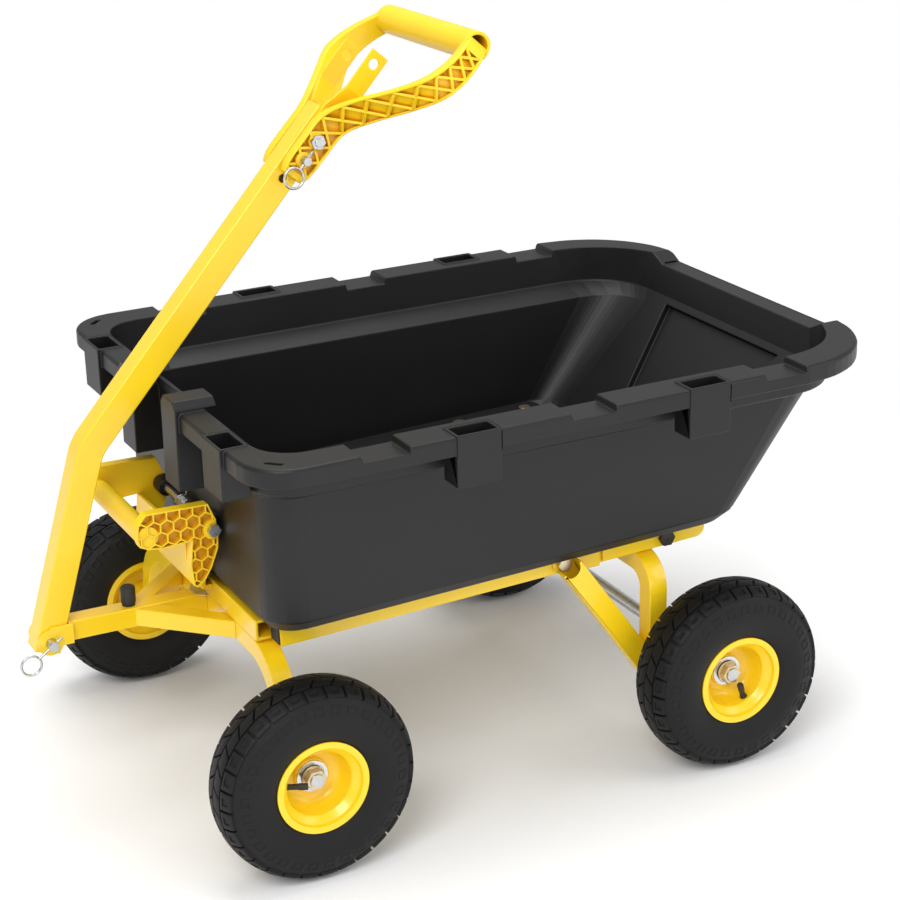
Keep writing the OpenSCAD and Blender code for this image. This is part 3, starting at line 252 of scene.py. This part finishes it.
crown_lean, crown_half = math.radians(5), 0.014
block_round = 0.0005


# Section turned into rings: each ring is drawn out of the one before it
def turned(rings, segments):
    radius, height = rings[0]
    bpy.ops.object.select_all(action="DESELECT")
    bpy.ops.mesh.primitive_circle_add(vertices=segments, radius=radius, location=(0, 0, height))
    piece = bpy.context.object
    bpy.ops.object.transform_apply()
    bpy.ops.object.mode_set(mode="EDIT")
    bpy.ops.mesh.select_mode(type="VERT")
    bpy.ops.mesh.select_all(action="SELECT")
    for r, z in rings[1:]:
        bpy.ops.mesh.extrude_region_move(TRANSFORM_OT_translate={"value": (0, 0, z - height)})
        bpy.ops.transform.resize(value=(r / radius, r / radius, 1), center_override=(0, 0, z))
        radius, height = r, z
    bpy.ops.mesh.select_all(action="SELECT")
    bpy.ops.mesh.remove_doubles(threshold=0.000001)
    bpy.ops.mesh.normals_make_consistent(inside=False)
    bpy.ops.object.mode_set(mode="OBJECT")
    return piece


# Selects the faces that a test wants, and stays in edit mode
def pick_faces(piece, wanted):
    bpy.ops.object.mode_set(mode="EDIT")
    bpy.ops.mesh.select_mode(type="FACE")
    bpy.ops.mesh.select_all(action="DESELECT")
    bpy.ops.object.mode_set(mode="OBJECT")
    for face in piece.data.polygons:
        face.select = wanted(face.center, face.normal)
    bpy.ops.object.mode_set(mode="EDIT")


# Modifier that is set and applied at once
def apply_modifier(piece, kind, **settings):
    bpy.context.view_layer.objects.active = piece
    modifier = piece.modifiers.new(kind, kind)
    for name, value in settings.items():
        setattr(modifier, name, value)
    bpy.ops.object.modifier_apply(modifier=modifier.name)


outside = [(r, -z) for z, r in reversed(tyre_half)] + [(r, z) for z, r in tyre_half]
lining = [(r, z) for z, r in tyre_inside] + [(r, -z) for z, r in reversed(tyre_inside)]
section = [(r / 1000, z / 1000) for r, z in outside + lining + outside[:1]]
tyre = turned(section, tread_pitches * pitch_faces)


# Where a face lies: its row, its step in the pitch, its distance from the middle and its radius, in mm
def tread_place(centre):
    z = abs(centre.z) * 1000
    step = math.atan2(centre.y, centre.x) / math.tau * tread_pitches * pitch_faces
    row = next((name for name, (low, high) in tread_rows.items() if low < z < high), "none")
    shift = pitch_faces // 2 if (row == "crown") == (centre.z > 0) else 0
    return row, (math.floor(step) - shift) % pitch_faces, z, math.hypot(centre.x, centre.y) * 1000


def is_block(centre, normal):
    row, step, _, r = tread_place(centre)
    faces_out = normal.dot((centre.x, centre.y, 0)) > 0
    return row in ("crown", "shoulder") and r > block_foot and step != pitch_faces - 1 and faces_out


def is_dent(centre, _):
    row, step, z, r = tread_place(centre)
    return row == "shoulder" and dent_row[0] < z < dent_row[1] and r > dent_foot and step in dent_steps


def is_pad(centre, _):
    row, step, _, r = tread_place(centre)
    hollow = pad_hollow[0] < r < pad_hollow[1]
    return row == "wall" and r > pad_foot and step in (pad_sides if hollow else pad_steps)


for wanted, height in ((is_block, block_height), (is_dent, -dent_depth), (is_pad, pad_height)):
    pick_faces(tyre, wanted)
    bpy.ops.mesh.extrude_region_shrink_fatten(TRANSFORM_OT_shrink_fatten={"value": height})
    bpy.ops.object.mode_set(mode="OBJECT")

# The crown blocks lean: each point of the crown is turned on by its distance from the middle
for vertex in tyre.data.vertices:
    turn = crown_lean * min(abs(vertex.co.z) / crown_half, 1)
    vertex.co.xy = Matrix.Rotation(turn, 2) @ vertex.co.xy
apply_modifier(tyre, "BEVEL", width=block_round, segments=2, limit_method="ANGLE",
               angle_limit=math.radians(40), use_clamp_overlap=True)
bpy.ops.object.shade_smooth_by_angle(angle=math.radians(35))
tyre.data.materials.append(tread_rubber)

# Each wheel stands at its own turn, so that no two treads line up
axle_half, track_half, axle_height, axle_middle = 0.2795, 0.2905, 0.120, 0.01655
end_turn, side_turn = 0.4, 0.9
for corner, (end, side) in corners.items():
    copy = tyre.copy()
    copy.data = tyre.data.copy()
    copy.name = "tread_" + corner
    bpy.context.scene.collection.objects.link(copy)
    own_turn = Matrix.Rotation(end_turn * end + side_turn * side, 4, "Z")
    turn = Matrix.Rotation(math.radians(-90 * side), 4, "X") @ own_turn
    hub = Vector((axle_middle + end * axle_half, side * track_half, axle_height))
    copy.data.transform(Matrix.Translation(hub) @ turn)
    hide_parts("tyre_" + corner)
    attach(copy, "wheel_" + corner)
bpy.data.objects.remove(tyre)


# Tub: thick black polyethylene, moulded in one piece with a fine grain. The frame holds it as a basin and a
# rim, so copies of the two are joined at their seam, and every edge is rounded as a mould leaves it.

# Polyethylene: a waxy black with soft, wide highlights, and a mould grain drawn coarser so that it shows
tub_plastic, tree, shader = start_material("black moulded polyethylene")
place = add(tree, "ShaderNodeTexCoord").outputs["Object"]
cloud = add(tree, "ShaderNodeTexNoise",
            inputs={"Vector": place, "Scale": pattern_scale(120), "Detail": 3})
tub_colour = add(tree, "ShaderNodeMix", {"data_type": "RGBA"},
                 {"Factor": cloud.outputs["Fac"], "A": srgb("#0E0E0F"), "B": srgb("#151516")})
tree.links.new(tub_colour.outputs["Result"], shader.inputs["Base Color"])
mould_grain = add(tree, "ShaderNodeTexNoise",
                  inputs={"Vector": place, "Scale": pattern_scale(1.5), "Detail": 3})
grain_bump = add(tree, "ShaderNodeBump",
                 inputs={"Height": mould_grain.outputs["Fac"], "Strength": 0.2, "Distance": 0.0005})
tree.links.new(grain_bump.outputs["Normal"], shader.inputs["Normal"])
tub_shine = add(tree, "ShaderNodeMapRange",
                inputs={"Value": cloud.outputs["Fac"], "To Min": 0.4, "To Max": 0.5})
tree.links.new(tub_shine.outputs["Result"], shader.inputs["Roughness"])
shader.inputs["Specular IOR Level"].default_value = 0.4

weld_reach, seam_reach, seam_weld, flat_angle = 0.00002, 0.0001, 0.00005, math.radians(0.6)
bpy.ops.object.select_all(action="DESELECT")
for node in ("tub", "tub_rim"):
    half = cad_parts[node].copy()
    half.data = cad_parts[node].data.copy()
    half.parent = None
    for key in list(half.keys()):
        del half[key]
    bpy.context.scene.collection.objects.link(half)
    half.select_set(True)
    bpy.context.view_layer.objects.active = half
bpy.ops.object.join()
tub = bpy.context.object
tub.name = "tub_moulding"
tub.data.materials.clear()
tub.data.materials.append(tub_plastic)
bpy.ops.object.mode_set(mode="EDIT")
bpy.ops.mesh.select_all(action="SELECT")
bpy.ops.mesh.remove_doubles(threshold=weld_reach)
rim_rake = math.radians(0.74)
seam_normal = Vector((-math.tan(rim_rake), 0, 1)).normalized()
seam_point, seam_square = Vector((0.25605, 0, 0.444846)), 0.999


def on_seam(centre, normal):
    in_plane = abs((centre - seam_point).dot(seam_normal)) < seam_reach
    return in_plane and abs(normal.dot(seam_normal)) > seam_square


pick_faces(tub, on_seam)
bpy.ops.mesh.delete(type="ONLY_FACE")
bpy.ops.mesh.select_mode(type="VERT")
bpy.ops.mesh.select_all(action="SELECT")
bpy.ops.mesh.remove_doubles(threshold=seam_weld)
bpy.ops.mesh.delete_loose(use_faces=False)
bpy.ops.mesh.select_all(action="SELECT")
bpy.ops.mesh.dissolve_limited(angle_limit=flat_angle)
bpy.ops.object.mode_set(mode="OBJECT")

# An oval slot goes through the rim's top at each front corner
slot_middle, slot_reach, slot_round, slot_depth = Vector((-0.2948, -0.2959, 0.498)), 0.008, 0.003, 0.04
bpy.ops.object.select_all(action="DESELECT")
bpy.ops.mesh.primitive_cylinder_add(vertices=48, radius=slot_round, depth=slot_depth)
cutter = bpy.context.object
for side in (1, -1):
    pick_faces(cutter, lambda centre, normal: normal.z == 0 and centre.x * side > 0)
    bpy.ops.transform.translate(value=(slot_reach * side, 0, 0))
    bpy.ops.object.mode_set(mode="OBJECT")
cutter.data.transform(Matrix.Translation(slot_middle) @ Matrix.Rotation(math.radians(-45), 4, "Z"))
bpy.ops.object.mode_set(mode="EDIT")
bpy.ops.mesh.select_all(action="SELECT")
bpy.ops.mesh.duplicate()
bpy.ops.transform.mirror(constraint_axis=(False, True, False), center_override=(0, 0, 0))
bpy.ops.mesh.select_all(action="SELECT")
bpy.ops.mesh.normals_make_consistent(inside=False)
bpy.ops.object.mode_set(mode="OBJECT")
apply_modifier(tub, "BOOLEAN", object=cutter, operation="DIFFERENCE", solver="EXACT")
bpy.data.objects.remove(cutter)

# The corners of the frame's tub have few facets: the upright edges between these are rounded first
facet_least, facet_most, upright_least = math.radians(12.3), math.radians(30), 0.4
normals = {}
for face in tub.data.polygons:
    for key in face.edge_keys:
        normals.setdefault(key, []).append(face.normal.copy())
upright = []
for edge in tub.data.edges:
    sides = normals.get(edge.key, [])
    ends = [tub.data.vertices[i].co for i in edge.vertices]
    if len(sides) == 2 and facet_least < sides[0].angle(sides[1], 0) < facet_most:
        if abs((ends[0] - ends[1]).normalized().z) > upright_least:
            upright.append(edge.index)
bpy.ops.object.mode_set(mode="EDIT")
bpy.ops.mesh.select_mode(type="EDGE")
bpy.ops.mesh.select_all(action="DESELECT")
bpy.ops.object.mode_set(mode="OBJECT")
for index in upright:
    tub.data.edges[index].select = True
bpy.ops.object.mode_set(mode="EDIT")
bpy.ops.mesh.bevel(offset_type="PERCENT", offset_pct=32, segments=2, affect="EDGES", clamp_overlap=False)

# The low rear lip is closed between the wall and the skirt
lip_middle, lip_size, mould_round = (0.502, 0, 0.49835), (0.0245, 0.38, 0.008), 0.0014
bpy.ops.mesh.primitive_cube_add(size=1, location=lip_middle, rotation=(0, -rim_rake, 0), scale=lip_size)
bpy.ops.object.mode_set(mode="OBJECT")
apply_modifier(tub, "BEVEL", width=mould_round, segments=3, limit_method="ANGLE",
               angle_limit=math.radians(35), use_clamp_overlap=False, loop_slide=False)
bpy.ops.object.shade_smooth_by_angle(angle=math.radians(30))
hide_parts("tub", "tub_rim")
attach(tub, "tub")


# D-grip: two arms of yellow polypropylene, bolted beside the handle's tube and swelling out to a hollow cross
# bar, all one moulding. Each arm has a thick rounded edge round an open outer face that is stiffened with a
# lattice of crossed ribs.

# Polypropylene: softer in shine than the coat, with painted shade that turns it a darker amber in its pits
yellow_plastic, tree, shader = start_material("yellow moulded polypropylene")
place = add(tree, "ShaderNodeTexCoord").outputs["Object"]
drift = add(tree, "ShaderNodeTexNoise",
            inputs={"Vector": place, "Scale": pattern_scale(60), "Detail": 2})
plastic_colour = add(tree, "ShaderNodeMix", {"data_type": "RGBA"},
                     {"Factor": drift.outputs["Fac"], "A": srgb("#F4CB10"), "B": srgb("#FBD51E")})
# Painted shade: ambient occlusion blends the yellow into a darker amber in the pits of the lattice and other
# recesses
painted_shade_ao = add(tree, "ShaderNodeAmbientOcclusion", {"samples": 8}, {"Distance": 0.018})
painted_shade_amount = add(tree, "ShaderNodeMapRange",
                inputs={"Value": painted_shade_ao.outputs["AO"], "From Min": 0.25, "From Max": 0.8})
yellow_with_painted_shade = add(tree, "ShaderNodeMix", {"data_type": "RGBA"},
           {"Factor": painted_shade_amount.outputs["Result"], "A": srgb("#E4AA14"),
            "B": plastic_colour.outputs["Result"]})
tree.links.new(yellow_with_painted_shade.outputs["Result"], shader.inputs["Base Color"])
shader.inputs["Roughness"].default_value = 0.38

grip_origin = Vector((-0.40821, 0, 0.44751))
grip_along, grip_over = Vector((0.65606, 0, 0.75471)), Vector((-0.75471, 0, 0.65606))
# Rows of an arm in mm: distance along the handle, outer face, middle of the depth, depth
grip_rows = [(392, 34, -2, 26), (404, 34, -2, 35), (438, 34, -3, 37), (470, 36, -5, 38), (500, 64, -14, 40),
             (530, 104, -25, 38), (556, 134, -33, 36), (580, 142, -40, 33), (604, 137, -47, 30),
             (620, 127, -52, 29), (636, 116, -56, 27)]
arm_thick, arm_edge, arm_open, arm_round = 0.014, 0.0032, 0.008, 0.0014
open_from, open_to, side_reach, side_slope = 0.397, 0.622, 0.002, 0.6


# Row of the arm at a distance along it: a smooth curve through the rows above
def arm_row(s):
    i = max((j for j in range(len(grip_rows) - 1) if grip_rows[j][0] <= s), default=0)
    rows = [grip_rows[min(max(i + k, 0), len(grip_rows) - 1)] for k in (-1, 0, 1, 2)]
    t = (s - rows[1][0]) / (rows[2][0] - rows[1][0])
    out = [s / 1000]
    for k in (1, 2, 3):
        a, b, c, d = (row[k] / 1000 for row in rows)
        slope0 = (c - a) / max(rows[2][0] - rows[0][0], 1) * (rows[2][0] - rows[1][0])
        slope1 = (d - b) / max(rows[3][0] - rows[1][0], 1) * (rows[2][0] - rows[1][0])
        out.append((2 * t**3 - 3 * t**2 + 1) * b + (t**3 - 2 * t**2 + t) * slope0
                   + (3 * t**2 - 2 * t**3) * c + (t**3 - t**2) * slope1)
    return out


arm_steps = [392, 397, 404, 415, 427, 438, 450, 460, *range(470, 623, 8), 629, 635.9]
s, outer, middle, depth = arm_row(arm_steps[0])
bpy.ops.object.select_all(action="DESELECT")
bpy.ops.mesh.primitive_plane_add(size=1, location=(s, outer - arm_thick / 2, middle),
                                 rotation=(0, math.pi / 2, 0))
bpy.ops.object.transform_apply()
grip = bpy.context.object
grip.name = "d_grip"
bpy.ops.object.mode_set(mode="EDIT")
bpy.ops.mesh.select_all(action="SELECT")
bpy.ops.transform.resize(value=(1, arm_thick, depth), center_override=(s, outer - arm_thick / 2, middle))
for step in arm_steps[1:]:
    last = (s, outer, middle, depth)
    s, outer, middle, depth = arm_row(step)
    bpy.ops.mesh.extrude_region_move(
        TRANSFORM_OT_translate={"value": (s - last[0], outer - last[1], middle - last[2])})
    bpy.ops.transform.resize(value=(1, 1, depth / last[3]),
                             center_override=(s, outer - arm_thick / 2, middle))
bpy.ops.mesh.select_all(action="SELECT")
bpy.ops.mesh.normals_make_consistent(inside=False)
bpy.ops.object.mode_set(mode="OBJECT")


def is_open_side(centre, normal):
    on_outside = abs(centre.y - arm_row(centre.x * 1000)[1]) < side_reach
    return on_outside and abs(normal.z) < side_slope and open_from < centre.x < open_to


pick_faces(grip, is_open_side)
bpy.ops.mesh.inset(thickness=arm_edge, use_even_offset=True)
bpy.ops.mesh.extrude_region_move(TRANSFORM_OT_translate={"value": (0, -arm_open, 0)})
bpy.ops.object.mode_set(mode="OBJECT")
apply_modifier(grip, "BEVEL", width=arm_round, segments=3, limit_method="ANGLE", angle_limit=math.radians(40))

# Ribs cross from edge to edge a little below it, and a boss stands round each bolt
rib_wide, rib_below, boss_radius = 0.003, 0.001, 0.0095
rib_ends = [402, 424, 446, 468, 490, 511, 532, 552, 571, 589, 606, 620]
bolt_places = (442, 416)
bpy.ops.object.mode_set(mode="EDIT")
for first, second in zip(rib_ends, rib_ends[1:]):
    for up in (1, -1):
        ends = []
        for at, side in ((first, up), (second, -up)):
            s, outer, middle, depth = arm_row(at)
            ends.append(Vector((s, outer - rib_below - arm_open / 2, middle + side * (depth / 2 - arm_edge))))
        run = ends[1] - ends[0]
        across = run.cross(Vector((0, 1, 0))).normalized()
        turn = Matrix((run.normalized(), across.cross(run).normalized(), across)).transposed()
        bpy.ops.mesh.primitive_cube_add(size=1, location=(ends[0] + ends[1]) / 2, rotation=turn.to_euler(),
                                        scale=(run.length, arm_open, rib_wide))
for at in bolt_places:
    s, outer, _, _ = arm_row(at)
    bpy.ops.mesh.primitive_cylinder_add(vertices=32, radius=boss_radius, depth=arm_open,
                                        location=(s, outer - arm_open / 2, 0), rotation=(math.pi / 2, 0, 0))
bpy.ops.mesh.select_all(action="SELECT")
bpy.ops.mesh.duplicate()
bpy.ops.transform.mirror(constraint_axis=(False, True, False), center_override=(0, 0, 0))
bpy.ops.mesh.select_all(action="SELECT")
bpy.ops.mesh.normals_make_consistent(inside=False)
bpy.ops.object.mode_set(mode="OBJECT")

# The cross bar is a tube with rounded ends
bar_section = [(0.0135, -0.1155), (0.0145, -0.1165), (0.0165, -0.1165), (0.0175, -0.1155), (0.0175, 0.1155),
               (0.0165, 0.1165), (0.0145, 0.1165), (0.0135, 0.1155), (0.0135, -0.1155)]
bar_place, rib_round = (0.631, 0, -0.056), 0.0004
bar = turned(bar_section, 64)
bar.data.transform(Matrix.Translation(bar_place) @ Matrix.Rotation(math.pi / 2, 4, "X"))
bpy.ops.object.select_all(action="DESELECT")
bar.select_set(True)
grip.select_set(True)
bpy.context.view_layer.objects.active = grip
bpy.ops.object.join()
apply_modifier(grip, "BEVEL", width=rib_round, segments=2, limit_method="ANGLE", angle_limit=math.radians(60))
axes = Matrix((grip_along, Vector((0, 1, 0)), grip_over)).transposed().to_4x4()
grip.data.transform(Matrix.Translation(grip_origin) @ axes)
bpy.ops.object.shade_smooth_by_angle(angle=math.radians(38))
grip.data.materials.append(yellow_plastic)
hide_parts("handle_grip")
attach(grip, "handle")


# Release lever: one moulding of the same yellow plastic, with honeycomb cheeks and a bar for the fingers. It
# turns on the pivot rod at the tub's front.
lever_round = 0.0005
finish_node("release_lever", yellow_plastic, lever_round, flat=False)


# Studio: a white floor that fades into white surroundings, a large soft key light from the left front, weaker
# ones from the right and low in front, and one from above. The camera stands as in the photograph.
floor_size, fade_from, fade_to = 14, 0.75, 1.6
bpy.ops.object.select_all(action="DESELECT")
bpy.ops.mesh.primitive_plane_add(size=floor_size)
floor = bpy.context.object
floor.name = "floor"

# Floor paint: matt and pale, so that only soft shadows show; clear from below
floor_paint, tree, shader = start_material("pale studio floor")
shader.inputs["Base Color"].default_value = srgb("#FFFFFF")
shader.inputs["Roughness"].default_value = 0.9
shader.inputs["Specular IOR Level"].default_value = 0.1
place = add(tree, "ShaderNodeTexCoord").outputs["Object"]
reach = add(tree, "ShaderNodeVectorMath", {"operation": "LENGTH"}, {"Vector": place})
fade = add(tree, "ShaderNodeMapRange", {"interpolation_type": "SMOOTHSTEP"},
           {"Value": reach.outputs["Value"], "From Min": fade_from, "From Max": fade_to})
eye = add(tree, "ShaderNodeLightPath").outputs["Is Camera Ray"]
share = add(tree, "ShaderNodeMath", {"operation": "MULTIPLY"})
tree.links.new(fade.outputs["Result"], share.inputs[0])
tree.links.new(eye, share.inputs[1])
white = add(tree, "ShaderNodeEmission", inputs={"Color": srgb("#FFFFFF"), "Strength": 1})
blend = add(tree, "ShaderNodeMixShader", inputs={"Fac": share.outputs["Value"]})
tree.links.new(shader.outputs["BSDF"], blend.inputs[1])
tree.links.new(white.outputs["Emission"], blend.inputs[2])
under = add(tree, "ShaderNodeNewGeometry").outputs["Backfacing"]
one_sided = add(tree, "ShaderNodeMixShader", inputs={"Fac": under})
tree.links.new(blend.outputs["Shader"], one_sided.inputs[1])
tree.links.new(add(tree, "ShaderNodeBsdfTransparent").outputs["BSDF"], one_sided.inputs[2])
tree.links.new(one_sided.outputs["Shader"], tree.nodes["Material Output"].inputs["Surface"])
floor.data.materials.append(floor_paint)

# The surroundings light the cart less than they show to the camera
world_light, world_seen = 0.55, 1
world = bpy.data.worlds.new("studio")
bpy.context.scene.world = world
world.use_nodes = True
sky = world.node_tree.nodes["Background"]
sky.inputs["Color"].default_value = srgb("#FFFFFF")
eye = add(world.node_tree, "ShaderNodeLightPath").outputs["Is Camera Ray"]
strength = add(world.node_tree, "ShaderNodeMapRange",
               inputs={"Value": eye, "To Min": world_light, "To Max": world_seen})
world.node_tree.links.new(strength.outputs["Result"], sky.inputs["Strength"])


# Round area light, turned to a point
def softbox(name, place, aim, size, power):
    data = bpy.data.lights.new(name, "AREA")
    data.shape = "DISK"
    data.size = size
    data.energy = power
    lamp = bpy.data.objects.new(name, data)
    lamp.location = place
    lamp.rotation_euler = (Vector(aim) - Vector(place)).to_track_quat("-Z", "Y").to_euler()
    bpy.context.scene.collection.objects.link(lamp)


softbox("key", place=(-2.2, -2.4, 3.0), aim=(0, 0, 0.4), size=2.2, power=84)
softbox("fill", place=(2.6, -2.2, 2.0), aim=(0, 0, 0.4), size=2.5, power=30)
softbox("low", place=(0.3, -3.4, 0.8), aim=(0, 0, 0.3), size=1.8, power=12)
softbox("top", place=(0.2, 0.4, 3.4), aim=(0, 0, 0.4), size=2.5, power=58)

camera_place = Vector((-1.09925, -2.3006, 1.3127))
yaw, pitch, roll = math.radians(26.83), math.radians(20.3), math.radians(-0.87)
forward = Vector((math.sin(yaw) * math.cos(pitch), math.cos(yaw) * math.cos(pitch), -math.sin(pitch)))
level = Vector((math.cos(yaw), -math.sin(yaw), 0))
above = level.cross(forward)
right = math.cos(roll) * level + math.sin(roll) * above
upward = -math.sin(roll) * level + math.cos(roll) * above
camera_data = bpy.data.cameras.new("camera")
camera_data.sensor_fit = "HORIZONTAL"
camera_data.sensor_width = 36
camera_data.lens = 86.84
camera = bpy.data.objects.new("camera", camera_data)
bpy.context.scene.collection.objects.link(camera)
pose = Matrix((right, upward, -forward)).transposed().to_4x4()
pose.translation = camera_place
camera.matrix_world = pose
bpy.context.scene.camera = camera
bpy.context.scene.view_settings.view_transform = "Standard"
